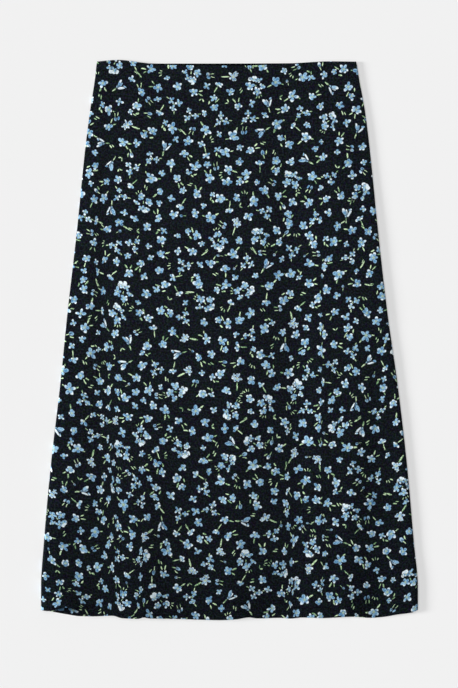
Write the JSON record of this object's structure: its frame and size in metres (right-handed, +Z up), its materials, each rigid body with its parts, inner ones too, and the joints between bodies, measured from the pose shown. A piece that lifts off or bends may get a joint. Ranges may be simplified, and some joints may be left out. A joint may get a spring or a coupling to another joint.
{
  "type": "a-line midi skirt",
  "caption": "Printed a-line midi skirt laid flat, front up: two crepe panels joined at the side seams, with soft flutes that widen to the hem.",
  "frame": {"origin": "on the surface the skirt lies on, under the middle of its outline", "axes": "+X to the viewer's right, +Y towards the waist, +Z up, out of the front panel"},
  "size_m": [0.514, 0.763, 0.0185],
  "materials": {
    "printed_crepe": "soft crepe, near-black navy printed with small blue flowers and green leaves, low sheen",
    "printed_crepe_wrong_side": "the wrong side of the same crepe, its print showing through faintly, matte",
    "sewing_thread": "dark matte polyester sewing thread"
  },
  "bodies": {
    "root": {"front_panel": "printed_crepe", "back_panel": "printed_crepe_wrong_side"}
  },
  "joints": []
}
